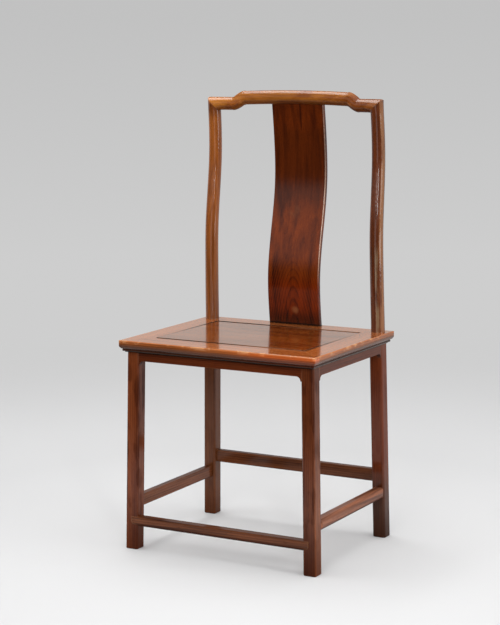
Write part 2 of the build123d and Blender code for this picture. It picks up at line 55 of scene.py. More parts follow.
def new_node(tree, kind, inputs=None, **settings):
    """One shader node, with its settings and the values or links of its inputs."""
    node = tree.nodes.new(kind)
    for key, value in settings.items():
        setattr(node, key, value)
    for key, value in (inputs or {}).items():
        socket = node.inputs[key]
        if isinstance(value, bpy.types.NodeSocket):
            tree.links.new(value, socket)
        else:
            socket.default_value = value
    return node


def maths(tree, operation, *values, clamp=False):
    """One Math node on numbers or sockets, and its result."""
    sockets = dict(enumerate(values))
    return new_node(tree, "ShaderNodeMath", sockets, operation=operation, use_clamp=clamp).outputs[0]


def vectors(tree, operation, *values):
    """One Vector Math node on vectors or sockets, and its result, a vector or a number."""
    node = new_node(tree, "ShaderNodeVectorMath", dict(enumerate(values)), operation=operation)
    return node.outputs["Value" if operation in ("LENGTH", "DISTANCE", "DOT_PRODUCT") else "Vector"]


def axes(tree, vector):
    """The X, Y and Z of a vector."""
    return new_node(tree, "ShaderNodeSeparateXYZ", {0: vector}).outputs


def noise(tree, vector, scale, detail=3.0, roughness=0.5):
    """A cloudy pattern in space, as a number (Fac) and as a colour (Color)."""
    sockets = {"Vector": vector, "Scale": scale, "Detail": detail, "Roughness": roughness}
    return new_node(tree, "ShaderNodeTexNoise", sockets).outputs


def smooth_step(tree, value, low, high):
    """A soft mask: 0 at low and 1 at high, whichever of them is larger."""
    sockets = {"Value": value, "From Min": low, "From Max": high}
    return new_node(tree, "ShaderNodeMapRange", sockets, interpolation_type="SMOOTHSTEP").outputs["Result"]


def mixed(tree, factor, first, second, blend="MIX"):
    """Two colours mixed by a mask."""
    sockets = dict(zip(MIX_INPUTS, (factor, first, second)))
    return new_node(tree, "ShaderNodeMix", sockets, data_type="RGBA", blend_type=blend).outputs[MIX_RESULT]


def tones(tree, value, stops, easing="LINEAR"):
    """A grey that follows a value through a few stops."""
    node = new_node(tree, "ShaderNodeValToRGB", {"Fac": value})
    ramp = node.color_ramp
    ramp.interpolation = easing
    for end, (spot, grey) in zip((0, 1), (stops[0], stops[-1])):
        ramp.elements[end].position = spot
        ramp.elements[end].color = (grey, grey, grey, 1)
    for spot, grey in stops[1:-1]:
        ramp.elements.new(spot).color = (grey, grey, grey, 1)
    return node.outputs["Color"]


clear_selection()
bpy.ops.mesh.primitive_circle_add(vertices=SHEET_SIDES, radius=SHEET_RADIUS, fill_type="NGON")
sheet = bpy.context.object
sheet.name = "paper_sweep"
bpy.ops.object.mode_set(mode="EDIT")
bpy.ops.mesh.select_mode(type="EDGE")
bpy.ops.mesh.select_all(action="SELECT")
bpy.ops.mesh.region_to_loop()
reach = SHEET_RADIUS
for step in range(1, SHEET_STEPS + 1):
    turn = math.pi / 2 * step / SHEET_STEPS
    last = math.pi / 2 * (step - 1) / SHEET_STEPS
    out = SHEET_BEND * (math.sin(turn) - math.sin(last))
    rise = SHEET_BEND * (math.cos(last) - math.cos(turn))
    bpy.ops.mesh.extrude_edges_move(TRANSFORM_OT_translate={"value": (0, 0, rise)})
    bpy.ops.transform.resize(value=((reach + out) / reach, (reach + out) / reach, 1))
    reach += out
bpy.ops.mesh.extrude_edges_move(TRANSFORM_OT_translate={"value": (0, 0, SHEET_WALL)})
bpy.ops.mesh.select_all(action="SELECT")
bpy.ops.mesh.normals_make_consistent(inside=True)
bpy.ops.object.mode_set(mode="OBJECT")
bpy.ops.object.shade_smooth()

paper = bpy.data.materials.new("pale_paper")
paper.use_nodes = True
tree = paper.node_tree
place = new_node(tree, "ShaderNodeTexCoord").outputs["Object"]
parts = axes(tree, place)
radius = vectors(tree, "LENGTH", vectors(tree, "MULTIPLY", place, (1, 1, 0)))
# painted light and shade: paler under the chair and darker up the wall
on_floor = tones(tree, maths(tree, "DIVIDE", radius, SHEET_TONE_REACH), SHEET_TONES)
on_wall = tones(tree, maths(tree, "DIVIDE", parts["Z"], WALL_TONE_REACH), WALL_TONES)
tone = mixed(tree, 1.0, on_floor, on_wall, "MULTIPLY")
fibre = noise(tree, place, PAPER_FIBRE_SCALE, detail=4.0)["Color"]
tone = mixed(tree, PAPER_FIBRE_SHARE, tone, fibre, "MULTIPLY")
rays = new_node(tree, "ShaderNodeLightPath").outputs
# painted shade: ahead of the chair and low down, reflections and bounced light see the sheet near black
beyond = smooth_step(tree, maths(tree, "MULTIPLY", parts["Y"], -1.0), *SHEET_FRONT_FADE)
low = smooth_step(tree, parts["Z"], *STUDIO_DARK_HEIGHTS)
unseen = maths(tree, "SUBTRACT", 1.0, rays["Is Camera Ray"])
dark = maths(tree, "MULTIPLY", maths(tree, "MULTIPLY", beyond, low), unseen)
tone = mixed(tree, dark, tone, STUDIO_DARK)
surface = tree.nodes["Principled BSDF"]
tree.links.new(tone, surface.inputs["Base Color"])
surface.inputs["Roughness"].default_value = PAPER_ROUGHNESS
surface.inputs["Specular IOR Level"].default_value = PAPER_SHINE
# far from the chair the sheet glows at its own tone for camera, glossy and transmission rays, however little
# of the lamps' light gets there
seen = maths(tree, "MAXIMUM", rays["Is Camera Ray"], rays["Is Glossy Ray"])
seen = maths(tree, "MAXIMUM", seen, rays["Is Transmission Ray"])
glow = new_node(tree, "ShaderNodeEmission", {"Color": tone, "Strength": 1.0})
share = maths(tree, "MULTIPLY", smooth_step(tree, radius, *SHEET_LIT_REACH), seen)
both = new_node(tree, "ShaderNodeMixShader", {0: share, 1: surface.outputs[0], 2: glow.outputs[0]})
tree.links.new(both.outputs[0], tree.nodes["Material Output"].inputs["Surface"])
sheet.data.materials.append(paper)


# The studio lamps are softboxes: three in front, two on the right, one on the left, a wide one overhead and
# a narrow strip above the back. Their level is plain, and their edges give the polish its bright lines.
STUDIO_AIR = (1.08, 1.08, 1.09, 1)
STUDIO_CEILING = (0.12, 0.12, 0.12, 1)


def softbox(name, spot, aim, width, height, power):
    """A rectangular lamp at spot that faces aim."""
    clear_selection()
    bpy.ops.object.light_add(type="AREA", location=spot)
    lamp = bpy.context.object
    lamp.name = name
    lamp.data.shape = "RECTANGLE"
    lamp.data.size = width
    lamp.data.size_y = height
    lamp.data.energy = power
    lamp.rotation_euler = (Vector(aim) - Vector(spot)).to_track_quat("-Z", "Y").to_euler()


softbox("softbox_front", (0.45, -2.3, 1.85), (0.1, 0, 0.9), width=1.1, height=1.5, power=16)
softbox("softbox_overhead", (-0.3, 0.3, 3.3), (0, 0.1, 0.5), width=3.4, height=3.0, power=24)
softbox("softbox_right", (3.0, 0.1, 1.79), (0, 0, 0.9), width=1.5, height=1.9, power=26)
softbox("softbox_right_low", (3.0, 0.1, 0.48), (0, 0, 0.5), width=1.5, height=0.34, power=5.4)
softbox("softbox_front_low", (0.4, -2.1, 0.5), (0.1, 0, 0.6), width=1.0, height=0.9, power=2.4)
softbox("softbox_left", (-3.0, -1.9, 2.4), (0, 0, 0.6), width=1.2, height=1.6, power=6)
softbox("softbox_line", (1.33, -1.8, 1.45), (0.2, 0.1, 0.85), width=0.16, height=0.9, power=8)
softbox("softbox_strip", (-0.86, 0.2, 2.6), (0, 0.2, 1.0), width=1.5, height=0.4, power=9)

air = bpy.context.scene.world or bpy.data.worlds.new("studio_air")
bpy.context.scene.world = air
air.use_nodes = True
tree = air.node_tree
mirrored = new_node(tree, "ShaderNodeLightPath").outputs["Is Glossy Ray"]
tree.links.new(mixed(tree, mirrored, STUDIO_AIR, STUDIO_CEILING), tree.nodes["Background"].inputs["Color"])
tree.nodes["Background"].inputs["Strength"].default_value = 1.0
bpy.context.scene.view_settings.view_transform = "Standard"


# The camera stands ahead and to the right of the chair, a little above its crest, behind a long lens.
# Its place and turn were fitted to the straight edges of the legs, aprons and seat in the photograph.
CAMERA_SPOT = Vector((2.05892, -3.72634, 1.21183))
CAMERA_AZIMUTH = math.radians(29.2341)
CAMERA_RISE = math.radians(8.7907)
CAMERA_ROLL = math.radians(-0.3236)
CAMERA_LENS = 105.535
CAMERA_SENSOR = 36
CAMERA_REACH = 60

back = Vector((
    math.sin(CAMERA_AZIMUTH) * math.cos(CAMERA_RISE),
    -math.cos(CAMERA_AZIMUTH) * math.cos(CAMERA_RISE),
    math.sin(CAMERA_RISE),
))
level = Vector((math.cos(CAMERA_AZIMUTH), math.sin(CAMERA_AZIMUTH), 0))
upward = back.cross(level)
side = level * math.cos(CAMERA_ROLL) + upward * math.sin(CAMERA_ROLL)
top = upward * math.cos(CAMERA_ROLL) - level * math.sin(CAMERA_ROLL)
clear_selection()
bpy.ops.object.camera_add()
camera = bpy.context.object
camera.name = "photo_camera"
camera.matrix_world = Matrix.Translation(CAMERA_SPOT) @ Matrix((side, top, back)).transposed().to_4x4()
camera.data.lens = CAMERA_LENS
camera.data.sensor_width = CAMERA_SENSOR
camera.data.clip_end = CAMERA_REACH
bpy.context.scene.camera = camera


# The front legs are square posts of dense red-brown hardwood with rounded arrises, splayed a little outward.
# They are sawn from straight boards, scraped and waxed, and tenoned into the seat frame above.
WHITE = (1, 1, 1, 1)
# the wood's slow changes, fibre, pores and bands: how each is drawn out along the grain, and how fine it is
SLOW_DRAWN = (1, 1, 0.22)
DRIFT_SCALE = 7.0
MOTTLE_SCALE = 14.0
FIBRE_DRAWN = (1, 1, 0.025)
FIBRE_SCALE = 420.0
PORE_DRAWN = (1, 1, 0.05)
PORE_SCALE = 1300.0
PORE_LEVELS = (0.60, 0.72)
BAND_DRAWN = (1, 1, 0.05)
BAND_SCALE = 75.0
RING_SHAPE = ((0.0, 0.55), (0.12, 0.10), (0.55, 0.28), (0.90, 1.0), (1.0, 0.55))
FIBRE_RELIEF = 0.35
PORE_RELIEF = 0.65
RELIEF_DEPTH = 0.0004
# how much each of them darkens the wood, roughens it and dulls its coat of polish
MOTTLE_DEPTH = 0.9
MEAN_DEPTH = 0.26
RING_DEPTH = 0.55
FIBRE_DEPTH = 1.1
FIBRE_SHARE = 0.8
PORE_DEPTH = 0.55
MOTTLE_ROUGHNESS = 0.22
PORE_ROUGHNESS = 0.15
RUBBED_ROUGHNESS = 0.10
PORE_COAT = -0.3
RUBBED_COAT = -0.25
# how much the painted shade and the stains dull the coat
SHADE_AND_STAIN_COAT = -0.92
RUBBED_SAMPLES = 6
RUBBED_SCALE = 28.0
RUBBED_LEVELS = (0.35, 0.65)
# the tint of the painted shade on downward faces and of the stains and painted shade that pieces add, and the
# turn of a face at which the painted shade on undersides begins
SHADE_AND_STAIN_TINT = (0.42, 0.36, 0.34, 1)
UNDERSIDE_TURN = (0.0, -0.6)
ALONG_Z = (0, 0, 0)


def group_sockets(tree, inputs, outputs):
    """The named sockets of a shader node group, which puts out only numbers."""
    for name, kind, value in inputs:
        socket = tree.interface.new_socket(name, in_out="INPUT", socket_type=kind)
        if value is not None:
            socket.default_value = value
    for name in outputs:
        tree.interface.new_socket(name, in_out="OUTPUT", socket_type="NodeSocketFloat")
    return tree.nodes.new("NodeGroupInput").outputs, tree.nodes.new("NodeGroupOutput").inputs


def surface_normal(tree):
    """The way that the surface faces."""
    return new_node(tree, "ShaderNodeNewGeometry").outputs["Normal"]


def height_mask(tree, place, heights):
    """A soft mask along the height: 0 at the first and 1 at the second."""
    return smooth_step(tree, axes(tree, place)["Z"], *heights)


def swing(tree, value, span, middle):
    """A value round 0.5, spread by span and moved to a new middle."""
    return maths(tree, "MULTIPLY_ADD", maths(tree, "SUBTRACT", value, 0.5), span, middle)


def tinted(tree, tone, mask, tint):
    """A tone multiplied by a tint where the mask is."""
    return mixed(tree, 1.0, tone, mixed(tree, mask, WHITE, tint), "MULTIPLY")


# the growth rings, fibre, pores and slow colour changes of wood whose grain runs along Z
wood_figure = bpy.data.node_groups.new("wood_figure", "ShaderNodeTree")
given, made = group_sockets(
    wood_figure,
    [
        ("Vector", "NodeSocketVector", None),
        ("Ring Width", "NodeSocketFloat", 0.004),
        ("Waver", "NodeSocketFloat", 0.01),
        ("Taper", "NodeSocketFloat", 0.02),
    ],
    ["Rings", "Fibre", "Pores", "Mottle", "Streaks", "Height"],
)
tree = wood_figure
slow = vectors(tree, "MULTIPLY", given["Vector"], SLOW_DRAWN)
drift = noise(tree, slow, DRIFT_SCALE, detail=3.0, roughness=0.45)["Color"]
centred = vectors(tree, "SUBTRACT", drift, (0.5, 0.5, 0.5))
pushed = new_node(tree, "ShaderNodeVectorMath", {0: centred, "Scale": given["Waver"]}, operation="SCALE")
bent = vectors(tree, "ADD", given["Vector"], pushed.outputs[0])
apart = axes(tree, bent)
squares = [maths(tree, "POWER", apart[axis], 2.0) for axis in ("X", "Y")]
across = maths(tree, "SQRT", maths(tree, "ADD", *squares))
cone = maths(tree, "MULTIPLY_ADD", apart["Z"], given["Taper"], across)
phase = maths(tree, "FRACT", maths(tree, "DIVIDE", cone, given["Ring Width"]))
along = vectors(tree, "MULTIPLY", bent, FIBRE_DRAWN)
fibres = noise(tree, along, FIBRE_SCALE, detail=3.0, roughness=0.6)["Fac"]
holes = noise(tree, vectors(tree, "MULTIPLY", bent, PORE_DRAWN), PORE_SCALE, detail=1.0)["Fac"]
pores = smooth_step(tree, holes, *PORE_LEVELS)
raised = maths(tree, "MULTIPLY", fibres, FIBRE_RELIEF)
for name, value in (
    ("Rings", tones(tree, phase, RING_SHAPE, "EASE")),
    ("Fibre", fibres),
    ("Pores", pores),
    ("Mottle", noise(tree, slow, MOTTLE_SCALE, detail=4.0, roughness=0.55)["Fac"]),
    ("Streaks", noise(tree, vectors(tree, "MULTIPLY", bent, BAND_DRAWN), BAND_SCALE)["Fac"]),
    ("Height", maths(tree, "SUBTRACT", raised, maths(tree, "MULTIPLY", pores, PORE_RELIEF))),
):
    tree.links.new(value, made[name])

# where hands, feet and cloths have rubbed the arrises
rubbed_edges = bpy.data.node_groups.new("rubbed_edges", "ShaderNodeTree")
given, made = group_sockets(
    rubbed_edges,
    [
        ("Vector", "NodeSocketVector", None),
        ("Radius", "NodeSocketFloat", 0.004),
        ("Gain", "NodeSocketFloat", 3.0),
    ],
    ["Rubbed"],
)
tree = rubbed_edges
eased = new_node(tree, "ShaderNodeBevel", {"Radius": given["Radius"]}, samples=RUBBED_SAMPLES)
alike = vectors(tree, "DOT_PRODUCT", eased.outputs[0], surface_normal(tree))
turned = maths(tree, "MULTIPLY", maths(tree, "SUBTRACT", 1.0, alike), given["Gain"])
patchy = noise(tree, given["Vector"], RUBBED_SCALE, detail=5.0, roughness=0.65)["Fac"]
patches = smooth_step(tree, patchy, *RUBBED_LEVELS)
tree.links.new(maths(tree, "MULTIPLY", turned, patches, clamp=True), made["Rubbed"])


def polished_wood(
    name, light, dark, worn, grain=ALONG_Z, pith=(0.11, 0.07, 0), ring=0.0045, waver=0.012, taper=0.01,
    contrast=0.75, banding=1.0, wear=0.6, gloss=0.9, polish=0.12, varnish=WHITE, shine=0.03, glint=WHITE,
    satin=0.3, bump=0.12, ringed=None, shade_and_stain_mask=None, paint=None,
):
    """A waxed hardwood, its grain along one axis and its pith beside the piece.

    Where a piece has a mask of rings, a mask of stains and painted shade, or tones of its own, the functions
    given for them make them.
    """
    material = bpy.data.materials.new(name)
    material.use_nodes = True
    tree = material.node_tree
    place = new_node(tree, "ShaderNodeTexCoord").outputs["Object"]
    turned = new_node(tree, "ShaderNodeMapping", {"Vector": place, "Location": pith, "Rotation": grain})
    sockets = {"Vector": turned.outputs[0], "Ring Width": ring, "Waver": waver, "Taper": taper}
    figure = new_node(tree, "ShaderNodeGroup", sockets, node_tree=wood_figure).outputs
    rubbed = new_node(tree, "ShaderNodeGroup", {"Vector": place}, node_tree=rubbed_edges).outputs["Rubbed"]

    body = swing(tree, figure["Mottle"], MOTTLE_DEPTH, MEAN_DEPTH)
    body = swing(tree, figure["Streaks"], banding, body)
    lines = maths(tree, "MULTIPLY", figure["Rings"], contrast * RING_DEPTH)
    if ringed:
        lines = maths(tree, "MULTIPLY", lines, ringed(tree, place))
    tone = mixed(tree, maths(tree, "ADD", body, lines, clamp=True), light, dark)
    streak = swing(tree, figure["Fibre"], FIBRE_DEPTH, 1.0)
    shade = new_node(tree, "ShaderNodeCombineColor", {0: streak, 1: streak, 2: streak})
    tone = mixed(tree, FIBRE_SHARE, tone, shade.outputs[0], "MULTIPLY")
    tone = mixed(tree, maths(tree, "MULTIPLY", figure["Pores"], PORE_DEPTH), tone, dark)
    tone = mixed(tree, maths(tree, "MULTIPLY", rubbed, wear), tone, worn)
    if paint:
        tone = paint(tree, place, tone)
    # painted shade on faces that turn downward, joined by the stains and painted shade that a piece adds
    shade_and_stains = smooth_step(tree, axes(tree, surface_normal(tree))["Z"], *UNDERSIDE_TURN)
    if shade_and_stain_mask:
        shade_and_stains = maths(tree, "MAXIMUM", shade_and_stains, shade_and_stain_mask(tree, place))
    tone = mixed(tree, shade_and_stains, tone, mixed(tree, 1.0, tone, SHADE_AND_STAIN_TINT, "MULTIPLY"))

    rough = maths(tree, "MULTIPLY_ADD", figure["Mottle"], MOTTLE_ROUGHNESS, satin)
    rough = maths(tree, "MULTIPLY_ADD", figure["Pores"], PORE_ROUGHNESS, rough)
    rough = maths(tree, "MULTIPLY_ADD", rubbed, RUBBED_ROUGHNESS, rough)
    coat = maths(tree, "MULTIPLY_ADD", rubbed, RUBBED_COAT, gloss)
    coat = maths(tree, "MULTIPLY_ADD", figure["Pores"], PORE_COAT, coat, clamp=True)
    coat = maths(tree, "MULTIPLY", coat, maths(tree, "MULTIPLY_ADD", shade_and_stains, SHADE_AND_STAIN_COAT, 1.0))
    sockets = {"Height": figure["Height"], "Strength": bump, "Distance": RELIEF_DEPTH}
    raised = new_node(tree, "ShaderNodeBump", sockets).outputs[0]

    surface = tree.nodes["Principled BSDF"].inputs
    tree.links.new(tone, surface["Base Color"])
    tree.links.new(rough, surface["Roughness"])
    tree.links.new(coat, surface["Coat Weight"])
    tree.links.new(raised, surface["Normal"])
    surface["Coat Roughness"].default_value = polish
    surface["Coat Tint"].default_value = varnish
    surface["Specular IOR Level"].default_value = shine
    surface["Specular Tint"].default_value = glint
    return material


LEG_LIGHT = (0.205, 0.050, 0.014, 1)
LEG_DARK = (0.055, 0.008, 0.002, 1)
LEG_WORN = (0.400, 0.165, 0.075, 1)
RIGHT_LEG_SHADE = 0.64
# painted light and sheen on the outward side of the right front leg: its tint, the turn of the face it
# covers, and its heights
OUTER_SIDE_LIGHT = (2.0, 2.4, 2.7, 1)
OUTER_SIDE_TURN = (0.4, 0.9)
OUTER_SIDE_HEIGHTS = (0.44, 0.14)
FOOT_DARKENING = 0.85
FOOT_DARKENING_HEIGHTS = (0.15, 0.0)
STAIN_DIRT = 0.62
STAIN_HEIGHTS = (0.50, 0.42)
STAIN_DRAWN = (1, 1, 0.3)
STAIN_SCALE = 38.0
STAIN_LEVELS = (0.50, 0.61)


def near_floor(tree, place):
    """The legs darken towards the floor, and old stains lie here and there above the feet."""
    foot = maths(tree, "MULTIPLY", height_mask(tree, place, FOOT_DARKENING_HEIGHTS), FOOT_DARKENING)
    stained = noise(tree, vectors(tree, "MULTIPLY", place, STAIN_DRAWN), STAIN_SCALE, detail=4.0)["Fac"]
    stains = maths(tree, "MULTIPLY", smooth_step(tree, stained, *STAIN_LEVELS), STAIN_DIRT)
    stains = maths(tree, "MULTIPLY", stains, height_mask(tree, place, STAIN_HEIGHTS))
    return maths(tree, "MAXIMUM", foot, stains)


def painted_light_on_outer_side(tree, place, tone):
    """Painted light and sheen make the side of a leg that faces out paler, most of all lower down."""
    outer = smooth_step(tree, axes(tree, surface_normal(tree))["X"], *OUTER_SIDE_TURN)
    outer = maths(tree, "MULTIPLY", outer, height_mask(tree, place, OUTER_SIDE_HEIGHTS))
    return tinted(tree, tone, outer, OUTER_SIDE_LIGHT)


def scaled(colour, share):
    """The same colour, lighter or darker."""
    return tuple(value * share for value in colour[:3]) + (1,)


def finish(material, *names):
    """Gives CAD nodes their finish."""
    for name in names:
        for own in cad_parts[name].material_slots:
            own.material = material


for side, share, pith, paint in (
    ("left", 1.0, (0.09, 0.13, 0), None),
    ("right", RIGHT_LEG_SHADE, (-0.05, 0.10, 0.4), painted_light_on_outer_side),
):
    finish(
        polished_wood(
            side + "_front_leg_wood", scaled(LEG_LIGHT, share), scaled(LEG_DARK, share), LEG_WORN, pith=pith,
            wear=0.9, gloss=0.6, banding=1.8, contrast=0.6, shade_and_stain_mask=near_floor, paint=paint,
        ),
        "front_leg_" + side,
    )


# Each rear leg is one long piece: square below the seat, round above it, and curved like a slow S.
# The upper part is lighter and more orange than the leg below.
LEFT_POST_LIGHT = (0.375, 0.110, 0.019, 1)
LEFT_POST_DARK = (0.150, 0.036, 0.007, 1)
RIGHT_POST_LIGHT = (0.150, 0.036, 0.010, 1)
RIGHT_POST_DARK = (0.036, 0.008, 0.003, 1)
# the colour of worn arrises on both posts, and of the painted highlight on the right post's side
POST_WORN_AND_HIGHLIGHT = (0.420, 0.190, 0.075, 1)
POST_LOW_REFLECTION = (0.260, 0.170, 0.095, 1)
SQUARE_PART = (0.52, 0.44)
SQUARE_PART_DARKENING = 0.5
ROUND_PART = (0.49, 0.50)
LEFT_POST_TINTS = (
    ((0.85, 0.55), (0.76, 0.82, 1.05, 1)),
    (SQUARE_PART, (0.60, 0.62, 0.95, 1)),
)
RIGHT_POST_TINTS = (
    (SQUARE_PART, (1.75, 1.50, 1.35, 1)),
    ((0.22, 0.06), (0.75, 0.95, 1.0, 1)),
)
# painted shade in the corner under the crest: the heights where it rises and falls, and its tint
CORNER_FROM = (0.990, 1.022)
CORNER_TO = (1.036, 1.030)
CORNER_SHADE = (0.52, 0.48, 0.55, 1)
STREAK_DRAWN = (1, 1, 0.15)
STREAK_SCALE = 90.0
STREAK_LEVELS = (0.30, 0.60)
# painted reflections on the right post: the bearing in degrees that each streak faces, half its spread round
# the post, and its strength
LOW_REFLECTION_STREAK = (24, 18, 0.7)
LOW_REFLECTION_HEIGHTS = (0.72, 0.66)
SIDE_HIGHLIGHT_STREAK = (66, 26, 0.47)


def below_seat(tree, place):
    """The square part below the seat is darker and duller, and darker still towards its foot, with stains
    above it.
    """
    square = maths(tree, "MULTIPLY", height_mask(tree, place, SQUARE_PART), SQUARE_PART_DARKENING)
    return maths(tree, "MAXIMUM", square, near_floor(tree, place))


def tint_by_height(tree, place, steps):
    """A tint that passes from white through the tint of each step."""
    tint = WHITE
    for heights, colour in steps:
        tint = mixed(tree, height_mask(tree, place, heights), tint, colour)
    return tint


def left_post_tones(tree, place, tone):
    """The left post is duller lower down, and painted shade darkens the corner under the crest."""
    tint = tint_by_height(tree, place, LEFT_POST_TINTS)
    corner = height_mask(tree, place, CORNER_FROM)
    corner = maths(tree, "MULTIPLY", corner, height_mask(tree, place, CORNER_TO))
    return mixed(tree, 1.0, tone, mixed(tree, corner, tint, CORNER_SHADE), "MULTIPLY")


def painted_reflection_streak(tree, place, tone, colour, streak, mask):
    """A painted reflection: a paler streak on the side of a post that faces a given way."""
    bearing, spread, strength = math.radians(streak[0]), math.radians(streak[1]), streak[2]
    facing = vectors(tree, "DOT_PRODUCT", surface_normal(tree), (math.sin(bearing), -math.cos(bearing), 0))
    line = smooth_step(tree, facing, math.cos(spread), math.cos(spread / 2))
    broken = noise(tree, vectors(tree, "MULTIPLY", place, STREAK_DRAWN), STREAK_SCALE)["Fac"]
    line = maths(tree, "MULTIPLY", line, smooth_step(tree, broken, *STREAK_LEVELS))
    line = maths(tree, "MULTIPLY", line, maths(tree, "MULTIPLY", mask, strength))
    return mixed(tree, line, tone, colour)


def right_post_tones(tree, place, tone):
    """The right post is dark wood with a painted reflection low down and a painted highlight beside it."""
    above = height_mask(tree, place, ROUND_PART)
    low = maths(tree, "MULTIPLY", height_mask(tree, place, LOW_REFLECTION_HEIGHTS), above)
    # painted reflection low down, and painted highlight higher up
    tone = painted_reflection_streak(tree, place, tone, POST_LOW_REFLECTION, LOW_REFLECTION_STREAK, low)
    tone = painted_reflection_streak(tree, place, tone, POST_WORN_AND_HIGHLIGHT, SIDE_HIGHLIGHT_STREAK, above)
    return mixed(tree, 1.0, tone, tint_by_height(tree, place, RIGHT_POST_TINTS), "MULTIPLY")


for side, light, dark, pith, gloss, banding, paint in (
    ("left", LEFT_POST_LIGHT, LEFT_POST_DARK, (0.14, -0.04, 0), 0.95, 1.6, left_post_tones),
    ("right", RIGHT_POST_LIGHT, RIGHT_POST_DARK, (-0.10, -0.07, 0), 1.0, 1.3, right_post_tones),
):
    finish(
        polished_wood(
            side + "_post_wood", light, dark, POST_WORN_AND_HIGHLIGHT, pith=pith, ring=0.005, contrast=0.5, banding=banding,
            gloss=gloss, polish=0.08, bump=0.06, shade_and_stain_mask=below_seat, paint=paint,
        ),
        "rear_leg_post_" + side,
    )


# Stretchers tie the legs near the floor: low in front, where feet rest, and higher at the sides and back.
# They are planed flat with eased arrises and tenoned into the legs, and the front one overlaps them.
STRETCHER_LIGHT = (0.230, 0.068, 0.022, 1)
STRETCHER_DARK = (0.045, 0.011, 0.004, 1)
STRETCHER_WORN = (0.340, 0.160, 0.080, 1)
# the right stretcher is painted paler and greyer than the others, for the light and sheen that its outer side
# catches
PALE_STRETCHER_LIGHT = (0.350, 0.125, 0.062, 1)
PALE_STRETCHER_DARK = (0.072, 0.022, 0.011, 1)
ALONG_X = (0, math.radians(90), 0)
ALONG_Y = (math.radians(90), 0, 0)
for where, light, dark, share, grain, pith in (
    ("front", STRETCHER_LIGHT, STRETCHER_DARK, 0.74, ALONG_X, (0.05, 0.09, 0)),
    ("rear", STRETCHER_LIGHT, STRETCHER_DARK, 0.70, ALONG_X, (0.08, 0.04, 0.3)),
    ("left", STRETCHER_LIGHT, STRETCHER_DARK, 0.94, ALONG_Y, (0.06, -0.08, 0)),
    ("right", PALE_STRETCHER_LIGHT, PALE_STRETCHER_DARK, 1.0, ALONG_Y, (0.09, 0.03, 0.2)),
):
    finish(
        polished_wood(
            where + "_stretcher_wood", scaled(light, share), scaled(dark, share), STRETCHER_WORN, grain=grain,
            pith=pith, wear=0.8, gloss=0.45, banding=1.9,
        ),
        "stretcher_" + where,
    )


# Thin aprons run between the legs under the seat, and their ends turn down in small rounded ears.
# They are tongued up into the seat frame and into the legs.
APRON_LIGHT = (0.130, 0.026, 0.006, 1)
APRON_DARK = (0.036, 0.006, 0.002, 1)
for run, grain, pith, names in (
    ("cross", ALONG_X, (0.04, 0.1, 0), ("apron_front", "apron_rear")),
    ("side", ALONG_Y, (0.07, 0.05, 0), ("apron_left", "apron_right")),
):
    finish(
        polished_wood("apron_wood_" + run, APRON_LIGHT, APRON_DARK, LEG_WORN, grain=grain, pith=pith,
                      wear=0.35, gloss=0.6),
        *names,
    )


# The seat frame is four rails mitred at the corners, with a moulded edge that tucks in underneath.
# Polish lies thick on its top, where the grain of each rail follows its own length.
SEAT_LIGHT = (0.590, 0.245, 0.082, 1)
SEAT_DARK = (0.205, 0.072, 0.022, 1)
SEAT_WORN = (0.600, 0.360, 0.200, 1)
SEAT_VARNISH = (1.0, 0.76, 0.56, 1)
SEAT_GLINT = (1.0, 0.62, 0.45, 1)
# the painted shadow line round the panel: its opening, its width, and how full it is from right to left,
# behind the panel and at its right end
OPENING_MIDDLE = (0, -0.00435, 0)
OPENING_HALF = (0.1955, 0.143)
GROOVE_SHADE = (0.010, 0.004, 0.002, 1)
GROOVE_WIDTH = (0.0024, 0.0011)
GROOVE_FAINT = 0.3
GROOVE_FULL_X = (0.09, -0.03)
GROOVE_BEHIND = 0.65
GROOVE_BEHIND_Y = (0.12, 0.13)
GROOVE_RIGHT = 0.85
GROOVE_RIGHT_X = (0.185, 0.190)
# the painted shade on the moulded edge from the top down, its worn arris, and the redder right end of its
# front
EDGE_SHADE_HEIGHTS = (0.4965, 0.485)
EDGE_SHADE_TINTS = (
    ((0.4992, 0.4970), (0.80, 0.72, 0.70, 1)),
    ((0.4970, 0.4830), (0.48, 0.38, 0.38, 1)),
    ((0.483, 0.480), (0.50, 0.45, 0.45, 1)),
    ((0.477, 0.4755), (0.12, 0.10, 0.10, 1)),
)
EDGE_REACH = (0.2565, 0.21635)
EDGE_WORN_WIDTH = (0.009, 0.003)
EDGE_WORN_HEIGHTS = (0.4915, 0.4955)
EDGE_WORN_SCALE = 26.0
EDGE_WORN_LEVELS = (0.50, 0.60)
EDGE_RED = (1.70, 1.20, 1.0, 1)
EDGE_RED_X = (0.0, 0.15)
EDGE_RED_Y = (-0.190, -0.200)
EDGE_RED_HEIGHTS = (0.499, 0.495)


def groove_shadow_mask(tree, place):
    """A thin line of painted shadow all round the panel."""
    off = vectors(tree, "ABSOLUTE", vectors(tree, "SUBTRACT", place, OPENING_MIDDLE))
    aside, ahead = (
        maths(tree, "SUBTRACT", axes(tree, off)[axis], half) for axis, half in zip(("X", "Y"), OPENING_HALF)
    )
    line = smooth_step(tree, maths(tree, "ABSOLUTE", maths(tree, "MAXIMUM", aside, ahead)), *GROOVE_WIDTH)
    parts = axes(tree, place)
    full = smooth_step(tree, parts["X"], *GROOVE_FULL_X)
    full = maths(tree, "MULTIPLY_ADD", full, 1 - GROOVE_FAINT, GROOVE_FAINT)
    for axis, reach, share in (("Y", GROOVE_BEHIND_Y, GROOVE_BEHIND), ("X", GROOVE_RIGHT_X, GROOVE_RIGHT)):
        least = maths(tree, "MULTIPLY", smooth_step(tree, parts[axis], *reach), share)
        full = maths(tree, "MAXIMUM", full, least)
    return maths(tree, "MULTIPLY", line, full)


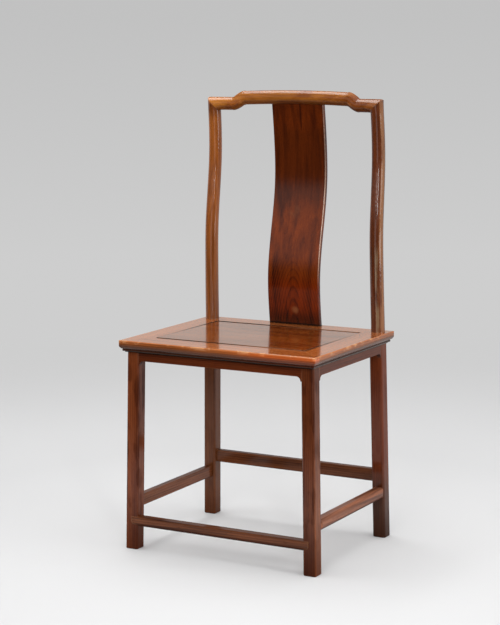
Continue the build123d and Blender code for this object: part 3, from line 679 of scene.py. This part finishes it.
def seat_painted_shade(tree, place):
    """Painted shade lies where the moulding tucks in and beside the groove."""
    return maths(tree, "MAXIMUM", height_mask(tree, place, EDGE_SHADE_HEIGHTS), groove_shadow_mask(tree, place))


def painted_groove_shadow(tree, place, tone):
    """The painted shadow round the panel is nearly black."""
    return mixed(tree, groove_shadow_mask(tree, place), tone, GROOVE_SHADE)


def dark_edge(tree, place, tone):
    """The moulded edge is painted darker where it tucks in, and painted black with shadow just above the
    aprons.
    """
    parts = axes(tree, place)
    aside = maths(tree, "SUBTRACT", EDGE_REACH[0], maths(tree, "ABSOLUTE", parts["X"]))
    inward = maths(tree, "MINIMUM", aside, maths(tree, "ADD", parts["Y"], EDGE_REACH[1]))
    arris = smooth_step(tree, inward, *EDGE_WORN_WIDTH)
    arris = maths(tree, "MULTIPLY", arris, height_mask(tree, place, EDGE_WORN_HEIGHTS))
    patchy = noise(tree, place, EDGE_WORN_SCALE, detail=5.0, roughness=0.7)["Fac"]
    arris = maths(tree, "MULTIPLY", arris, smooth_step(tree, patchy, *EDGE_WORN_LEVELS))
    tone = mixed(tree, arris, tone, SEAT_WORN)
    for heights, tint in EDGE_SHADE_TINTS:
        tone = tinted(tree, tone, height_mask(tree, place, heights), tint)
    redder = smooth_step(tree, parts["X"], *EDGE_RED_X)
    redder = maths(tree, "MULTIPLY", redder, smooth_step(tree, parts["Y"], *EDGE_RED_Y))
    redder = maths(tree, "MULTIPLY", redder, height_mask(tree, place, EDGE_RED_HEIGHTS))
    return painted_groove_shadow(tree, place, tinted(tree, tone, redder, EDGE_RED))


for run, grain, pith, names in (
    ("cross", ALONG_X, (0.12, 0.06, 0), ("seat_rail_front", "seat_rail_rear")),
    ("side", ALONG_Y, (-0.05, 0.13, 0), ("seat_rail_left", "seat_rail_right")),
):
    finish(
        polished_wood(
            "seat_rail_wood_" + run, SEAT_LIGHT, SEAT_DARK, SEAT_WORN, grain=grain, pith=pith, contrast=0.8,
            wear=0.2, gloss=1.0, polish=0.10, varnish=SEAT_VARNISH, shine=0.42, glint=SEAT_GLINT, satin=0.1,
            shade_and_stain_mask=seat_painted_shade, paint=dark_edge,
        ),
        *names,
    )


# One wide board floats in grooves of the frame, so that it can swell and shrink with the weather.
# It has warped a hair: proud of the frame in front and low behind, with a painted shadow line all round.
PANEL_LIGHT = (0.330, 0.120, 0.026, 1)
PANEL_DARK = (0.100, 0.026, 0.005, 1)
finish(
    polished_wood(
        "seat_panel_wood", PANEL_LIGHT, PANEL_DARK, SEAT_WORN, grain=ALONG_X, pith=(0.24, 0.03, 0),
        ring=0.006, waver=0.03, contrast=0.9, wear=0.2, gloss=1.0, polish=0.10, varnish=SEAT_VARNISH,
        shine=0.6, glint=SEAT_GLINT, satin=0.1, shade_and_stain_mask=groove_shadow_mask, paint=painted_groove_shadow,
    ),
    "seat_panel",
)


# Two battens run from front to back under the panel and carry it, keyed into it and tenoned into the frame.
# They are plain sawn wood, never seen from above, and they hold no polish.
BATTEN_LIGHT = (0.200, 0.090, 0.040, 1)
BATTEN_DARK = (0.090, 0.036, 0.016, 1)
finish(
    polished_wood("batten_wood", BATTEN_LIGHT, BATTEN_DARK, SEAT_WORN, grain=ALONG_Y, pith=(0.03, 0.11, 0),
                  gloss=0.2, bump=0.3),
    "seat_batten_left", "seat_batten_right",
)


# The splat is one wide board cut and bent to an S, standing in the seat's rear rail and the crest above.
# Its face is quarter sawn at the top and shows pointed arches of grain near the seat.
SPLAT_LIGHT = (0.150, 0.027, 0.0022, 1)
SPLAT_DARK = (0.026, 0.003, 0.0005, 1)
SPLAT_WORN_AND_SHEEN = (0.300, 0.110, 0.040, 1)
SPLAT_ARCH_HEIGHTS = (0.70, 0.60)
# up the board: a painted reflection from the belly up, painted shade above the belly, paler at the very top,
# orange low down, darker towards the seat, and a painted black contact shadow at the foot
SPLAT_TINTS = (
    ((0.60, 0.68), (1.30, 1.20, 1.15, 1)),
    ((0.73, 0.84), (0.48, 0.47, 0.42, 1)),
    ((0.95, 1.00), (1.30, 1.25, 1.25, 1)),
    ((0.64, 0.58), (1.30, 0.80, 0.20, 1)),
    ((0.55, 0.51), (0.42, 0.45, 0.50, 1)),
    ((0.506, 0.503), (0.12, 0.10, 0.10, 1)),
)
# two pale spots, the upper one a painted reflection of a lamp: the middle of each, its radius and its
# strength
SPLAT_MARKS = (((-0.007, 0.17, 0.775), 0.030, 0.45), ((0.004, 0.17, 0.537), 0.013, 0.6))
SPLAT_MARK_CORE = 0.2
SPLAT_MARK_SCALE = 60.0
SPLAT_CRACK_X = 0.0075
SPLAT_CRACK_WIDTH = (0.0018, 0.00045)
SPLAT_CRACK_HEIGHTS = (0.965, 0.985)
SPLAT_CRACK_SHARE = 0.95
# a painted highlight on the splat's right arris: its colour, the turns of the face it covers, its heights,
# its fade higher up, its least share and its strength
SPLAT_ARRIS = (0.720, 0.480, 0.340, 1)
SPLAT_ARRIS_TURNS = ((0.25, 0.5), (0.95, 0.8))
SPLAT_ARRIS_HEIGHTS = (0.58, 0.68)
SPLAT_ARRIS_FADE = (0.90, 0.80)
SPLAT_ARRIS_LEAST = 0.4
SPLAT_ARRIS_SHARE = 0.8


def arched_low(tree, place):
    """The arches of grain fade to straight fibre higher up."""
    return height_mask(tree, place, SPLAT_ARCH_HEIGHTS)


def splat_tones(tree, place, tone):
    """The board is orange low down, with a painted reflection at its belly, painted shade above it and a
    painted contact shadow at its foot.

    It has two pale spots, the upper one a painted reflection, a fine dark crack at the top and a painted
    highlight on its right arris.
    """
    for heights, tint in SPLAT_TINTS:
        tone = tinted(tree, tone, height_mask(tree, place, heights), tint)
    cloudy = noise(tree, place, SPLAT_MARK_SCALE)["Fac"]
    for spot, size, share in SPLAT_MARKS:
        off = swing(tree, cloudy, size, vectors(tree, "DISTANCE", place, spot))
        rubbed = maths(tree, "MULTIPLY", smooth_step(tree, off, size, size * SPLAT_MARK_CORE), share)
        tone = mixed(tree, rubbed, tone, SPLAT_WORN_AND_SHEEN)
    aside = maths(tree, "ABSOLUTE", maths(tree, "SUBTRACT", axes(tree, place)["X"], SPLAT_CRACK_X))
    crack = smooth_step(tree, aside, *SPLAT_CRACK_WIDTH)
    crack = maths(tree, "MULTIPLY", crack, height_mask(tree, place, SPLAT_CRACK_HEIGHTS))
    tone = mixed(tree, maths(tree, "MULTIPLY", crack, SPLAT_CRACK_SHARE), tone, SPLAT_DARK)
    facing = axes(tree, surface_normal(tree))["X"]
    arris = maths(tree, "MULTIPLY", *(smooth_step(tree, facing, *turn) for turn in SPLAT_ARRIS_TURNS))
    arris = maths(tree, "MULTIPLY", arris, height_mask(tree, place, SPLAT_ARRIS_HEIGHTS))
    fade = height_mask(tree, place, SPLAT_ARRIS_FADE)
    fade = maths(tree, "MULTIPLY_ADD", fade, 1 - SPLAT_ARRIS_LEAST, SPLAT_ARRIS_LEAST)
    arris = maths(tree, "MULTIPLY", arris, fade)
    return mixed(tree, maths(tree, "MULTIPLY", arris, SPLAT_ARRIS_SHARE), tone, SPLAT_ARRIS)


finish(
    polished_wood(
        "splat_wood", SPLAT_LIGHT, SPLAT_DARK, SPLAT_WORN_AND_SHEEN, pith=(-0.002, -0.148, 0), ring=0.0062, waver=0.012,
        taper=0.26, contrast=0.95, banding=2.2, wear=0.7, gloss=0.9, polish=0.15, shine=0.02,
        ringed=arched_low, paint=splat_tones,
    ),
    "splat",
)


# The crest rail is a single curved piece, raised in the middle and stepped down to meet the posts.
# It is the lightest wood of the chair, honey coloured, rounded all over and polished by hands.
CREST_LIGHT = (0.430, 0.148, 0.020, 1)
CREST_DARK = (0.170, 0.042, 0.005, 1)
CREST_WORN = (0.500, 0.230, 0.060, 1)
CREST_LEFT_TINT = (1.25, 1.30, 1.50, 1)
CREST_LEFT_X = (-0.24, 0.02)
CREST_RIGHT_TINT = (0.70, 0.62, 0.80, 1)
CREST_RIGHT_X = (0.08, 0.20)
CREST_CLOUD_TINT = (0.72, 0.60, 0.60, 1)
CREST_CLOUD_DRAWN = (0.4, 1, 1)
CREST_CLOUD_SCALE = 34.0
CREST_CLOUD_LEVELS = (0.50, 0.62)


def darker_to_the_right(tree, place, tone):
    """The crest is palest at its left end and darkest at its right one, with darker clouds in between."""
    across = axes(tree, place)["X"]
    tint = mixed(tree, smooth_step(tree, across, *CREST_LEFT_X), CREST_LEFT_TINT, WHITE)
    tint = mixed(tree, smooth_step(tree, across, *CREST_RIGHT_X), tint, CREST_RIGHT_TINT)
    cloudy = noise(tree, vectors(tree, "MULTIPLY", place, CREST_CLOUD_DRAWN), CREST_CLOUD_SCALE)["Fac"]
    tint = mixed(tree, smooth_step(tree, cloudy, *CREST_CLOUD_LEVELS), tint, CREST_CLOUD_TINT, "MULTIPLY")
    return mixed(tree, 1.0, tone, tint, "MULTIPLY")


finish(
    polished_wood(
        "crest_wood", CREST_LIGHT, CREST_DARK, CREST_WORN, grain=ALONG_X, pith=(-1.0, 0.12, 0), ring=0.006,
        contrast=0.45, wear=0.1, gloss=0.9, polish=0.13, bump=0.06, paint=darker_to_the_right,
    ),
    "crest_rail",
)
